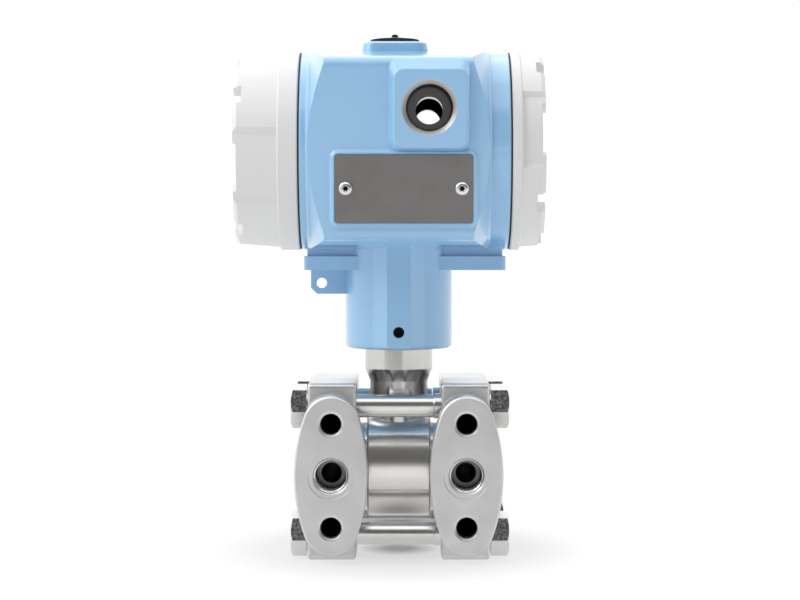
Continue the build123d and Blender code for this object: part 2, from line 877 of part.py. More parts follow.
def pan_screw(head_radius, head_height, shank_radius, shank_length):
    """Screw along Z: its domed head with a star socket stands on the origin, its shank goes down."""
    with BuildPart() as screw:
        with BuildSketch(Plane.XZ):
            with BuildLine():
                Polyline(
                    (head_radius * screw_crown_share, head_height),
                    (0, head_height),
                    (0, -shank_length),
                    (shank_radius - screw_shank_chamfer, -shank_length),
                    (shank_radius, -shank_length + screw_shank_chamfer),
                    (shank_radius, 0),
                    (head_radius, 0),
                    (head_radius, head_height * screw_side_share),
                )
                ThreePointArc(
                    (head_radius, head_height * screw_side_share),
                    (head_radius * screw_bend_share, head_height * screw_bend_share),
                    (head_radius * screw_crown_share, head_height),
                )
            make_face()
        revolve(axis=Axis.Z)
        with BuildSketch(Plane.XY.offset(head_height)):
            RegularPolygon(head_radius * screw_star_share, 3)
            RegularPolygon(head_radius * screw_star_share, 3, rotation=180)
        extrude(amount=-min(screw_drive_depth, head_height * screw_drive_share), mode=Mode.SUBTRACT)
    return screw.part


def cheese_screw(head_radius, head_height, shank_radius, shank_length):
    """Screw along Z: its flat slotted head stands on the origin, its shank goes down."""
    with BuildPart() as screw:
        with BuildSketch(Plane.XY):
            Circle(head_radius)
        extrude(amount=head_height)
        chamfer(screw.faces().sort_by(Axis.Z)[-1].edges(), screw_head_chamfer)
        with BuildSketch(Plane.XY.offset(head_height)):
            Rectangle(screw_slot_width, 3 * head_radius)
        extrude(amount=-screw_drive_depth, mode=Mode.SUBTRACT)
        with BuildSketch(Plane.XY):
            Circle(shank_radius)
        extrude(amount=-shank_length)
        chamfer(screw.faces().sort_by(Axis.Z)[0].edges(), screw_shank_chamfer)
    return screw.part


# Nameplate, left bare, with its two screws
with BuildPart() as nameplate:
    with BuildSketch(facing_front(plate_x, axis_depth - plate_face + plate_sunk, plate_height)):
        RectangleRounded(plate_width, plate_tall, plate_corner)
        with GridLocations(2 * plate_screw_half_span, 0, 2, 1):
            Circle(plate_screw_radius + running_gap, mode=Mode.SUBTRACT)
    extrude(amount=plate_thick)
keep(nameplate.part, "nameplate")

plate_front = axis_depth - plate_face + plate_sunk - plate_thick
with BuildPart() as nameplate_screws:
    with Locations(
        facing_front(plate_x - plate_screw_half_span, plate_front, plate_height).location,
        facing_front(plate_x + plate_screw_half_span, plate_front, plate_height).location,
    ):
        add(
            pan_screw(
                plate_screw_head_radius, plate_screw_head_height, plate_screw_radius, plate_screw_length
            )
        )
keep(nameplate_screws.part, "nameplate_screws")

# Screw that holds the head on the neck: its tip runs in the stop groove
set_screw_length = rib_reach - set_screw_sunk - groove_radius - end_gap
set_screw_radius = set_screw_hole_radius - running_gap
with BuildPart() as neck_set_screw:
    with BuildSketch(facing_front(0, axis_depth - rib_reach + set_screw_sunk, set_screw_height)):
        Circle(set_screw_radius)
    extrude(amount=-(set_screw_length - set_screw_tip))
    with BuildSketch(facing_front(0, axis_depth - rib_reach + set_screw_sunk, set_screw_height)):
        Circle(set_screw_tip_radius)
    extrude(amount=-set_screw_length)
    with BuildSketch(facing_front(0, axis_depth - rib_reach + set_screw_sunk, set_screw_height)):
        RegularPolygon(set_screw_socket_radius, 6)
    extrude(amount=-set_screw_tip, mode=Mode.SUBTRACT)
keep(neck_set_screw.part, "neck_set_screw")

# Moulded block that carries the wires through the wall
with BuildPart() as feedthrough:
    with BuildSketch(facing_side(partition_right, feed_height)):
        Circle(feed_radius - running_gap)
    extrude(amount=-partition_left - partition_right)
keep(feedthrough.part, "feedthrough")

# Electronics module on the left of the wall, and its two screws
module_end = partition_left + module_length
with BuildPart() as electronics_module:
    with BuildSketch(facing_side(-partition_left, head_height, -1)):
        Circle(module_radius)
        with GridLocations(2 * module_screw_offset, 0, 2, 1):
            Circle(module_screw_radius + running_gap, mode=Mode.SUBTRACT)
    extrude(amount=module_length)
    outer_rim = electronics_module.faces().sort_by(Axis.X)[0].outer_wire().edges()
    chamfer(outer_rim, module_edge)
keep(electronics_module.part, "electronics_module")

with BuildPart() as module_screws:
    with Locations(facing_side(-module_end, head_height, -1).location):
        with GridLocations(2 * module_screw_offset, 0, 2, 1):
            add(
                pan_screw(
                    module_screw_head_radius,
                    module_screw_head_height,
                    module_screw_radius,
                    module_length + module_screw_bite - end_gap,
                )
            )
keep(module_screws.part, "module_screws")

# Display on four posts, with its panel let into the face
display_back = module_end + display_gap
with BuildPart() as display_module:
    with BuildSketch(facing_side(-display_back, head_height, -1)):
        Circle(display_radius)
    extrude(amount=display_thick)
    chamfer(display_module.faces().sort_by(Axis.X)[0].edges(), module_edge)
    with BuildSketch(facing_side(-module_end, head_height, -1)):
        with PolarLocations(display_post_circle, 4, start_angle=45):
            Circle(display_post_radius)
    extrude(amount=display_gap)
    with BuildSketch(facing_side(-display_back - display_thick, head_height, -1)):
        Rectangle(panel_width + 2 * running_gap, panel_tall + 2 * running_gap)
    extrude(amount=-panel_thick, mode=Mode.SUBTRACT)
keep(display_module.part, "display_module")

with BuildPart() as display_panel:
    with BuildSketch(facing_side(-display_back - display_thick, head_height, -1)):
        Rectangle(panel_width, panel_tall)
    extrude(amount=-panel_thick)
keep(display_panel.part, "display_panel")

# Terminal block on the right of the wall
way_places = [
    ((turn - (terminal_ways - 1) / 2) * terminal_pitch, -terminal_screw_drop) for turn in range(terminal_ways)
]
block_face = partition_right + terminal_base
with BuildPart() as terminal_block:
    with BuildSketch(facing_side(partition_right, head_height)):
        with Locations((0, (terminal_high - terminal_low) / 2)):
            RectangleRounded(terminal_width, terminal_low + terminal_high, terminal_corner)
    extrude(amount=terminal_base)
    with BuildSketch(facing_side(block_face, head_height)):
        with Locations((0, terminal_high - terminal_wall_tall / 2)):
            with GridLocations(terminal_pitch, 0, terminal_ways + 1, 1):
                Rectangle(terminal_wall_thick, terminal_wall_tall)
    extrude(amount=terminal_wall_height)
    with BuildSketch(facing_side(block_face, head_height)):
        with Locations(*way_places):
            Circle(terminal_screw_radius + running_gap)
    extrude(amount=-terminal_bite, mode=Mode.SUBTRACT)
    with BuildSketch(facing_side(block_face, head_height)):
        with Locations((-block_screw_offset, -block_screw_drop), (block_screw_offset, -block_screw_drop)):
            Circle(block_screw_radius + running_gap)
    extrude(amount=-terminal_base, mode=Mode.SUBTRACT)
keep(terminal_block.part, "terminal_block")

with BuildPart() as terminal_clamps:
    with BuildSketch(facing_side(block_face, head_height)):
        with Locations(*way_places):
            Rectangle(clamp_size, clamp_size)
            Circle(terminal_screw_radius + running_gap, mode=Mode.SUBTRACT)
    extrude(amount=clamp_thick)
keep(terminal_clamps.part, "terminal_clamps")

with BuildPart() as terminal_screws:
    with Locations(facing_side(block_face + clamp_thick, head_height).location):
        with Locations(*way_places):
            add(
                cheese_screw(
                    terminal_head_radius,
                    terminal_head_height,
                    terminal_screw_radius,
                    terminal_bite + clamp_thick - end_gap,
                )
            )
keep(terminal_screws.part, "terminal_screws")

with BuildPart() as block_screws:
    with Locations(facing_side(block_face, head_height).location):
        with Locations((-block_screw_offset, -block_screw_drop), (block_screw_offset, -block_screw_drop)):
            add(
                pan_screw(
                    block_screw_head_radius,
                    terminal_head_height,
                    block_screw_radius,
                    terminal_base + block_screw_bite - end_gap,
                )
            )
keep(block_screws.part, "block_screws")

# Ground clamp on the floor of the terminal compartment
with BuildPart() as ground_clamp:
    with BuildSketch(facing_side(partition_right, head_height - ground_drop)):
        Rectangle(ground_clamp_width, ground_clamp_tall)
        Circle(ground_screw_radius + running_gap, mode=Mode.SUBTRACT)
    extrude(amount=clamp_thick)
keep(ground_clamp.part, "ground_clamp")

with BuildPart() as ground_screw:
    with Locations(facing_side(partition_right + clamp_thick, head_height - ground_drop).location):
        add(
            cheese_screw(
                ground_head_radius,
                ground_head_height,
                ground_screw_radius,
                ground_bite + clamp_thick - end_gap,
            )
        )
keep(ground_screw.part, "ground_screw")

# Three keys in the top pad, the rubber sheet round them and the flap that covers them
key_top = pad_top - key_below_pad
for turn, name in enumerate(("zero_key", "span_key", "enter_key")):
    with BuildPart() as key:
        with BuildSketch(facing_up(pad_x, key_top)):
            with Locations((0, key_first_y + turn * key_pitch)):
                Circle(key_radius)
        extrude(amount=-key_height)
        with BuildSketch(facing_up(pad_x, key_top)):
            with Locations((0, key_first_y + turn * key_pitch)):
                Circle(key_dimple_radius)
        extrude(amount=-key_dimple, taper=key_dimple_taper, mode=Mode.SUBTRACT)
    keep(key.part, name)

with BuildPart() as key_gasket:
    with BuildSketch(facing_up(pad_x, pad_top)):
        RectangleRounded(
            flap_width - 2 * gasket_sheet_margin, flap_length - 2 * gasket_sheet_margin, flap_corner
        )
        with Locations(*[(0, key_first_y + turn * key_pitch) for turn in range(3)]):
            Circle(key_radius + gasket_sheet_margin, mode=Mode.SUBTRACT)
        with Locations((0, flap_screw_y)):
            Circle(flap_screw_radius + running_gap, mode=Mode.SUBTRACT)
    extrude(amount=gasket_sheet_thick)
keep(key_gasket.part, "key_gasket")

flap_bottom = pad_top + gasket_sheet_thick
flap_top = flap_bottom + flap_edge_thick + flap_crown
with BuildPart() as key_flap:
    with BuildSketch(facing_front(pad_x, axis_depth, flap_bottom)):
        with BuildLine():
            Polyline(
                (-flap_width / 2, flap_edge_thick),
                (-flap_width / 2, 0),
                (flap_width / 2, 0),
                (flap_width / 2, flap_edge_thick),
            )
            ThreePointArc(
                (flap_width / 2, flap_edge_thick),
                (0, flap_edge_thick + flap_crown),
                (-flap_width / 2, flap_edge_thick),
            )
        make_face()
    extrude(amount=flap_length / 2, both=True)
    fillet(key_flap.edges().filter_by(Axis.Z), flap_corner)
    with BuildSketch(facing_up(pad_x, flap_top)):
        with Locations((0, flap_screw_y)):
            Circle(flap_washer_radius + end_gap)
    extrude(amount=-flap_seat_sink, mode=Mode.SUBTRACT)
    with BuildSketch(facing_up(pad_x, flap_top)):
        with Locations((0, flap_screw_y)):
            Circle(flap_screw_radius + running_gap)
    extrude(amount=-(flap_top - flap_bottom), mode=Mode.SUBTRACT)
keep(key_flap.part, "key_flap")

washer_seat = flap_top - flap_seat_sink
with BuildPart() as key_flap_washer:
    with BuildSketch(facing_up(pad_x, washer_seat)):
        with Locations((0, flap_screw_y)):
            Circle(flap_washer_radius)
            Circle(flap_screw_radius + running_gap, mode=Mode.SUBTRACT)
    extrude(amount=flap_washer_thick)
keep(key_flap_washer.part, "key_flap_washer")

screw_seat = washer_seat + flap_washer_thick
with BuildPart() as key_flap_screw:
    with Locations(facing_up(pad_x, screw_seat).location):
        with Locations((0, flap_screw_y)):
            add(
                pan_screw(
                    flap_screw_head_radius,
                    flap_screw_head_height,
                    flap_screw_radius,
                    screw_seat - pad_top + flap_screw_depth - end_gap,
                )
            )
keep(key_flap_screw.part, "key_flap_screw")


# Screw covers: turned rim, four grip lands between four recesses, four tool notches
def screw_cover(side, rim_x, reach, rim_length, phase, wall):
    """Cover beyond the seal at rim_x; phase is the angle of its first recess, wall its end's thickness."""
    seat_x = rim_x + seal_thick
    land_x = seat_x + rim_length
    end_x = seat_x + reach
    land_start = rim_radius - land_step
    land_end = land_start - land_slope * (reach - rim_length)
    with BuildPart() as cover:
        with BuildSketch(head_plane):
            with BuildLine():
                Polyline(
                    (side * (seat_x - spigot_length), 0),
                    (side * (seat_x - spigot_length), spigot_radius),
                    (side * seat_x, spigot_radius),
                    (side * seat_x, rim_radius - rim_edge),
                    (side * (seat_x + rim_edge), rim_radius),
                    (side * (land_x - land_step), rim_radius),
                    (side * land_x, land_start),
                    (side * (end_x - land_end_chamfer), land_end),
                    (side * end_x, land_end - land_end_chamfer),
                    (side * end_x, 0),
                    close=True,
                )
            make_face()
        revolve(axis=head_axis)
        floor = land_start - recess_depth
        clear = rim_radius + recess_clear
        wide = recess_half_angle + recess_wall_angle
        wide_end = recess_half_angle + recess_end_margin
        for turn in range(4):
            middle = phase + 90 * turn
            with BuildSketch(facing_side(side * land_x, head_height, side)):
                with BuildLine():
                    ThreePointArc(
                        on_circle(floor, middle - recess_half_angle, side),
                        on_circle(floor, middle, side),
                        on_circle(floor, middle + recess_half_angle, side),
                    )
                    Line(
                        on_circle(floor, middle + recess_half_angle, side),
                        on_circle(clear, middle + wide, side),
                    )
                    ThreePointArc(
                        on_circle(clear, middle + wide, side),
                        on_circle(clear, middle, side),
                        on_circle(clear, middle - wide, side),
                    )
                    Line(
                        on_circle(clear, middle - wide, side),
                        on_circle(floor, middle - recess_half_angle, side),
                    )
                make_face()
            extrude(amount=reach, taper=-degrees(land_slope), mode=Mode.SUBTRACT)
            with BuildSketch(facing_side(side * (end_x - recess_set_back), head_height, side)):
                with BuildLine():
                    Polyline(
                        on_circle(end_rim_radius / 2, middle, side),
                        on_circle(2 * rim_radius, middle - wide_end, side),
                        on_circle(2 * rim_radius, middle + wide_end, side),
                        close=True,
                    )
                make_face()
            extrude(amount=recess_set_back, mode=Mode.SUBTRACT)
            with BuildSketch(facing_side(side * (end_x - end_sink), head_height, side)):
                with Locations(on_circle(rim_radius, middle + 45, side)):
                    Rectangle(rim_radius, notch_width, rotation=side * (middle + 45))
            extrude(amount=end_sink, mode=Mode.SUBTRACT)
        with BuildSketch(facing_side(side * (end_x - end_sink), head_height, side)):
            Circle(end_rim_radius)
        extrude(amount=end_sink, mode=Mode.SUBTRACT)
        with BuildSketch(facing_side(side * (seat_x - spigot_length), head_height, side)):
            Circle(spigot_bore_radius)
        extrude(amount=spigot_length + reach - end_sink - wall, mode=Mode.SUBTRACT)
    return cover.part


def cover_seal(side, rim_x):
    """Flat ring between the housing's rim and a cover."""
    with BuildPart() as seal:
        with BuildSketch(facing_side(side * rim_x, head_height, side)):
            Circle(seal_outer_radius)
            Circle(spigot_radius + running_gap, mode=Mode.SUBTRACT)
        extrude(amount=seal_thick)
    return seal.part


window_wall = window_lip + glass_thick + ring_thick
window_face = rim_left + seal_thick + left_reach - end_sink
with BuildPart() as electronics_cover:
    add(screw_cover(-1, rim_left, left_reach, left_rim_length, recess_left_phase, window_wall))
    with BuildSketch(head_plane):
        with BuildLine():
            Polyline(
                (-window_face, 0),
                (-window_face, window_radius + window_bevel),
                (-window_face + window_bevel, window_radius),
                (-window_face + window_lip, window_radius),
                (-window_face + window_lip, glass_radius + running_gap),
                (-window_face + window_lip + glass_thick, glass_radius + running_gap),
                (-window_face + window_lip + glass_thick, ring_outer_radius + running_gap),
                (-window_face + window_wall, ring_outer_radius + running_gap),
                (-window_face + window_wall, 0),
                close=True,
            )
        make_face()
    revolve(axis=head_axis, mode=Mode.SUBTRACT)
keep(electronics_cover.part, "electronics_cover")

with BuildPart() as window_glass:
    with BuildSketch(facing_side(-window_face + window_lip, head_height)):
        Circle(glass_radius)
    extrude(amount=glass_thick)
keep(window_glass.part, "window_glass")

with BuildPart() as window_ring:
    with BuildSketch(facing_side(-window_face + window_lip + glass_thick, head_height)):
        Circle(ring_outer_radius)
        Circle(ring_inner_radius, mode=Mode.SUBTRACT)
        with GridLocations(2 * ring_outer_radius, 0, 2, 1):
            Rectangle(ring_outer_radius - ring_inner_radius, ring_notch_width, mode=Mode.SUBTRACT)
    extrude(amount=ring_thick)
keep(window_ring.part, "window_ring")

terminal_cover = screw_cover(1, rim_right, right_reach, right_rim_length, recess_right_phase, end_wall)
keep(terminal_cover, "terminal_cover")
keep(cover_seal(-1, rim_left), "electronics_cover_seal")
keep(cover_seal(1, rim_right), "terminal_cover_seal")
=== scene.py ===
# %% [markdown]
# A pressure transmitter, dressed for its portrait
#
# The frame holds every piece of the transmitter at its real size: a painted aluminium head, two screw
# covers, a turned steel neck, and a steel cell held between two flanges by four long bolts. The shapes
# are finished. This lesson gives each surface what it has on the real product: gloss paint, satin paint,
# machined and polished steel, a brushed plate, glass and rubber. Then it cuts the threads, which are too
# fine for a construction model. Everything is in metres.

# %% Load the frame
import json
import bpy
import numpy as np
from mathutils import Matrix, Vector


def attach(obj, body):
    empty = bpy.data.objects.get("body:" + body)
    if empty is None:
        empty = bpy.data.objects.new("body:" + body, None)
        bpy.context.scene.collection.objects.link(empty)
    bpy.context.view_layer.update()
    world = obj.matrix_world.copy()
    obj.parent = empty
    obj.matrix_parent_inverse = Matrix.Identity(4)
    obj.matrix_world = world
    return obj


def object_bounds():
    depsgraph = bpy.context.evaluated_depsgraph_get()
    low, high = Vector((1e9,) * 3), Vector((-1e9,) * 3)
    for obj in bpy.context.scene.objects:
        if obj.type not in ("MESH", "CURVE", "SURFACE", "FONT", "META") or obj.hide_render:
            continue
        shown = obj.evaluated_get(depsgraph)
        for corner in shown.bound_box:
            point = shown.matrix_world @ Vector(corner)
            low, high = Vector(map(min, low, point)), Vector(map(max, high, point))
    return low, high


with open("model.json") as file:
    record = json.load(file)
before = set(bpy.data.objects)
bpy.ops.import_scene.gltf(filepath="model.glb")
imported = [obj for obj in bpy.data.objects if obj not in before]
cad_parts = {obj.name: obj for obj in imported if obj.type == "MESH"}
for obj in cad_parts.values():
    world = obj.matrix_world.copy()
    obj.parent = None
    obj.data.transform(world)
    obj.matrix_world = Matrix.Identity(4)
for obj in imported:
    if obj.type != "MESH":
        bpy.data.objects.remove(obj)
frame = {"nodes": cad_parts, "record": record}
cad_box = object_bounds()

MM = 0.001
nodes = frame["nodes"]


def in_mm(box):
    """Corners of a box in metres, as millimetres with one decimal."""
    return [tuple(round(c / MM, 1) for c in corner) for corner in box]


print(len(nodes), "pieces in the frame, box in mm:", in_mm(cad_box))

# %% [markdown]
# A few helpers come first. Colours are written as they would be read off a screen, as sRGB hex, and one
# function turns them into the linear light that a renderer adds up. Another adds a shader node together
# with its settings and its links. The short ones after it stand for the nodes that come back often, so
# that each material below reads as a recipe.

# %% Colours and shader nodes


def linear(hex_colour):
    """Linear RGBA of an sRGB hex colour: divided by 12.92 under 0.04045, and a power of 2.4 above it."""
    srgb = np.array([int(hex_colour[i : i + 2], 16) for i in (1, 3, 5)]) / 255
    light = np.where(srgb <= 0.04045, srgb / 12.92, ((srgb + 0.055) / 1.055) ** 2.4)
    return (*light.tolist(), 1.0)


def dimmed(hex_colour, share):
    """The colour at a share of its light."""
    return (*(channel * share for channel in linear(hex_colour)[:3]), 1.0)


def metres(*millimetres):
    return tuple(value * MM for value in millimetres)


def per_mm(size):
    """Texture scale that makes one cell of a pattern this many millimetres wide."""
    return 1 / (size * MM)


def add(tree, kind, inputs=None, **settings):
    """Add a shader node, set its options, and give each input a value or a link."""
    made = tree.nodes.new(kind)
    for key, value in settings.items():
        setattr(made, key, value)
    for socket, value in (inputs or {}).items():
        if isinstance(value, bpy.types.NodeSocket):
            tree.links.new(value, made.inputs[socket])
        else:
            made.inputs[socket].default_value = value
    return made


def number(tree, operation, *values):
    """Result of a sum on numbers."""
    return add(tree, "ShaderNodeMath", dict(enumerate(values)), operation=operation).outputs[0]


def vector(tree, operation, *values):
    """Result of a sum on vectors: a vector, or a number where it is a length."""
    made = add(tree, "ShaderNodeVectorMath", dict(enumerate(values)), operation=operation)
    return made.outputs["Value" if operation == "LENGTH" else "Vector"]


def part(tree, point, axis):
    """One coordinate of a point."""
    return add(tree, "ShaderNodeSeparateXYZ", {0: point}).outputs[axis]


def mapped(tree, value, low=0.0, high=1.0, to_low=0.0, to_high=1.0):
    """The value carried from the range low to high into the range to_low to to_high, and held there."""
    return add(tree, "ShaderNodeMapRange", {0: value, 1: low, 2: high, 3: to_low, 4: to_high}).outputs[0]


def mix(tree, share, first, second, **settings):
    """The first colour where share is 0, the second where it is 1."""
    inputs = {0: share, 6: first, 7: second}
    return add(tree, "ShaderNodeMix", inputs, data_type="RGBA", **settings).outputs[2]


def grey_ramp(tree, factor, stops):
    """A colour ramp of greys from (position, value) stops."""
    ramp = add(tree, "ShaderNodeValToRGB", {"Fac": factor})
    band = ramp.color_ramp
    while len(band.elements) < len(stops):
        band.elements.new(0.5)
    for element, (position, value) in zip(band.elements, stops):
        element.position = position
        element.color = (value, value, value, 1)
    return ramp.outputs["Color"]


def noise(tree, place, size_mm, detail):
    """Soft random patches of a size."""
    inputs = {"Vector": place, "Scale": per_mm(size_mm), "Detail": detail}
    return add(tree, "ShaderNodeTexNoise", inputs).outputs["Fac"]


def rounded(tree, radius_mm, samples):
    """Normal that rounds the edges by a radius."""
    return add(tree, "ShaderNodeBevel", {"Radius": radius_mm * MM}, samples=samples).outputs[0]


def bumped(tree, height, strength, depth_mm, normal=None):
    """Normal of a surface that rises and falls with a pattern."""
    inputs = {"Height": height, "Strength": strength, "Distance": depth_mm * MM}
    if normal is not None:
        inputs["Normal"] = normal
    return add(tree, "ShaderNodeBump", inputs).outputs[0]


def object_place(tree):
    """Where a point lies on the object, in metres."""
    return add(tree, "ShaderNodeTexCoord").outputs["Object"]


def new_material(name):
    """A new material with its tree, its Principled shader and the place on the object."""
    material = bpy.data.materials.new(name)
    material.use_nodes = True
    tree = material.node_tree
    return material, tree, tree.nodes["Principled BSDF"], object_place(tree)


print("blue paint reads", [round(c, 3) for c in linear("#8FBFE6")[:3]], "in linear light")

# %% [markdown]
# The photographer stood about a metre away with a short telephoto lens, looking slightly down. The image
# is taken as 800 by 600 pixels. The lens follows from the size of the mounting holes in the picture:
# 2454 pixels of focal length across 800 pixels are 110 mm on a 36 mm sensor.

# %% Camera
IMAGE_WIDTH_PX = 800
FOCAL_PX = 2454
SENSOR_MM = 36
EYE = Vector((0.5, -970.0, 102.8)) * MM
TARGET = Vector((0.5, 0.0, 70.0)) * MM

camera_data = bpy.data.cameras.new("camera")
camera_data.sensor_width = SENSOR_MM
camera_data.lens = FOCAL_PX / IMAGE_WIDTH_PX * SENSOR_MM
camera_data.clip_start = 0.05
camera_data.clip_end = 50
camera = bpy.data.objects.new("camera", camera_data)
camera.location = EYE
camera.rotation_euler = (TARGET - EYE).to_track_quat("-Z", "Y").to_euler()
bpy.context.collection.objects.link(camera)
bpy.context.scene.camera = camera
print("lens", round(camera_data.lens, 1), "mm")

# %% [markdown]
# The picture is bright and almost without shadow: a white room that is lighter on the left, a broad lamp
# from the upper left and a weaker one from above and behind. Polished steel is only as lively as what it
# mirrors, so the room is drawn in the world shader. A dark band on the camera's side, from about 5 to 40
# degrees above the horizon, gives the rods and the drum their hard dark stripes. The camera itself sees
# plain white.

# %% Studio
BACKDROP = 1.05
# Heights from 0 straight down to 1 straight up, each with the brightness there
ROOM_FRONT = [(0.0, 1.0), (0.51, 1.0), (0.55, 0.10), (0.83, 0.14), (0.90, 1.2), (1.0, 1.35)]
ROOM_BACK = [(0.0, 1.0), (0.5, 1.0), (1.0, 1.05)]
RIGHT_WALL, LEFT_WALL = 1.08, 1.46
LAMP_AIM = Vector((0, 0.05, 0.08))

world = bpy.data.worlds.new("studio")
world.use_nodes = True
bpy.context.scene.world = world
room = world.node_tree
room.nodes.clear()
direction = add(room, "ShaderNodeTexCoord").outputs["Generated"]
height = mapped(room, part(room, direction, "Z"), -1.0, 1.0)
frontness = mapped(room, part(room, direction, "Y"), 0.1, -0.45)
sideness = mapped(room, part(room, direction, "X"), 1.0, -1.0, RIGHT_WALL, LEFT_WALL)
walls = mix(room, frontness, grey_ramp(room, height, ROOM_BACK), grey_ramp(room, height, ROOM_FRONT))
lit_walls = mix(room, 1.0, walls, sideness, blend_type="MULTIPLY")
seen = add(room, "ShaderNodeLightPath").outputs["Is Camera Ray"]
plain = mix(room, seen, lit_walls, (BACKDROP, BACKDROP, BACKDROP, 1))
sky = add(room, "ShaderNodeBackground", {"Color": plain, "Strength": 1.0})
add(room, "ShaderNodeOutputWorld", {"Surface": sky.outputs[0]})


def soft_box(name, place, size, power):
    """A square area light that faces the middle of the object."""
    data = bpy.data.lights.new(name, "AREA")
    data.energy = power
    data.size = size
    lamp = bpy.data.objects.new(name, data)
    lamp.location = Vector(place)
    lamp.rotation_euler = (LAMP_AIM - lamp.location).to_track_quat("-Z", "Y").to_euler()
    bpy.context.collection.objects.link(lamp)


soft_box("key_upper_left", (-1.05, -0.5, 1.0), 1.0, 9.0)
soft_box("top_back", (0.0, 0.45, 1.2), 1.1, 3.0)
bpy.context.scene.view_settings.view_transform = "Standard"
print("two lamps in a room of", len(ROOM_FRONT) + len(ROOM_BACK), "greys")

# %% [markdown]
# The object stands on a sweep of white paper. Lit paper alone would go grey further out, so the paper
# glows with the brightness of the backdrop within 11 cm of the foot. Nearer, the glow darkens to a painted
# contact shadow, which the underside of the drum mirrors too. A grey card in front of the object, which the
# camera doesn't see, is what the upright neck mirrors, and gives it a darker middle.

# %% Paper sweep and grey card
AXIS_DEPTH = 53.0
FLOOR_HALF = 12.0
FLOOR_FADE = 0.11
FLOOR_STRETCH = (1.3, 1.0, 0)
# Shares of the fade from the foot outwards, each with the brightness of the glow there: dimmer near the foot
# as a painted contact shadow
FLOOR_GLOW_AND_PAINTED_SHADOW = [(0.06, 0.36), (0.20, 0.84), (0.65, 0.90), (1.0, BACKDROP)]
CARD_LEFT, CARD_RIGHT, CARD_TOP, CARD_Y = -1.3, 0.24, 0.078, -1.05
floor_height = cad_box[0].z


def flat_sheet(name, corners, material):
    """An object of one flat face."""
    mesh = bpy.data.meshes.new(name)
    mesh.from_pydata(corners, [], [(0, 1, 2, 3)])
    mesh.materials.append(material)
    sheet = bpy.data.objects.new(name, mesh)
    bpy.context.collection.objects.link(sheet)
    return sheet


paper, paper_tree, paper_shader, paper_place = new_material("white_paper_sweep")
paper_shader.inputs["Base Color"].default_value = linear("#D4D4D4")
paper_shader.inputs["Roughness"].default_value = 0.9
paper_shader.inputs["Specular IOR Level"].default_value = 0.2
from_foot = vector(paper_tree, "SUBTRACT", paper_place, metres(0, AXIS_DEPTH, 0))
distance = vector(paper_tree, "LENGTH", vector(paper_tree, "MULTIPLY", from_foot, FLOOR_STRETCH))
# Painted contact shadow: near the foot the dimmer glow is mixed with a little of the lit paper
contact = mapped(paper_tree, distance, 0.03, FLOOR_FADE, 0.75, 1.0)
brightness = grey_ramp(paper_tree, number(paper_tree, "DIVIDE", distance, FLOOR_FADE), FLOOR_GLOW_AND_PAINTED_SHADOW)
glow = add(paper_tree, "ShaderNodeEmission", {"Color": brightness}).outputs[0]
blend = add(paper_tree, "ShaderNodeMixShader", {0: contact, 1: paper_shader.outputs[0], 2: glow}).outputs[0]
paper_tree.links.new(blend, paper_tree.nodes["Material Output"].inputs["Surface"])
quarters = ((-1, -1), (1, -1), (1, 1), (-1, 1))
floor_corners = [(x * FLOOR_HALF, y * FLOOR_HALF, floor_height) for x, y in quarters]
floor = flat_sheet("floor", floor_corners, paper)

grey, _, grey_shader, _ = new_material("grey_card")
grey_shader.inputs["Base Color"].default_value = linear("#606060")
grey_shader.inputs["Emission Color"].default_value = (1, 1, 1, 1)
grey_shader.inputs["Emission Strength"].default_value = 0.22
card_foot = [(CARD_LEFT, CARD_Y, floor_height), (CARD_RIGHT, CARD_Y, floor_height)]
card_head = [(CARD_RIGHT, CARD_Y, CARD_TOP), (CARD_LEFT, CARD_Y, CARD_TOP)]
card = flat_sheet("grey_card", card_foot + card_head, grey)
card.visible_camera = False
print("floor at", round(floor_height / MM, 2), "mm")

# %% [markdown]
# The head is a pressure die casting in aluminium, sprayed with a two-part gloss paint in light blue. The
# paint gives the eye a clear soft mirror with a faint orange peel, about 2 mm from crest to crest, and it
# rounds every edge a little. The mouths of the conduit entries and the thread bores are machined after
# painting, so they are bare metal. Their place is known, so the material finds them by their distance
# from the axis of each bore instead of needing a second material slot.

# %% Distance masks
# A scale of 0 along an axis leaves the distance from that axis
FROM_X_AXIS, FROM_Y_AXIS = (0, 1, 1), (1, 0, 1)


def ring_mask(tree, place, centre, axis_scale, radius):
    """1 where the distance from an axis through centre is under a radius in mm."""
    flat = vector(tree, "MULTIPLY", vector(tree, "SUBTRACT", place, centre), axis_scale)
    return number(tree, "LESS_THAN", vector(tree, "LENGTH", flat), radius * MM)


PORT_SPACING, MOUNT_RISE, DEPTH, FLANGE_OUTER = 54.0, 41.3, 106.0, 36.7
CONDUIT_X, CONDUIT_Z = 12.25, 146.3
HEAD_CENTRE = metres(0, AXIS_DEPTH, 130.2)
CONDUIT_CENTRE = metres(CONDUIT_X, AXIS_DEPTH, CONDUIT_Z)
CONDUIT_BARE_RADIUS = 11.14
THREAD_BORE_RADIUS = 37.03
print("bare metal within", CONDUIT_BARE_RADIUS, "and", THREAD_BORE_RADIUS, "mm of the axes")

# %% Blue gloss paint on the head
# Distances from the middle of the head where the painted shade in the conduit's bare metal is darkest and
# where it ends
BORE_SHADE_DEPTHS = metres(41.0, 46.2)


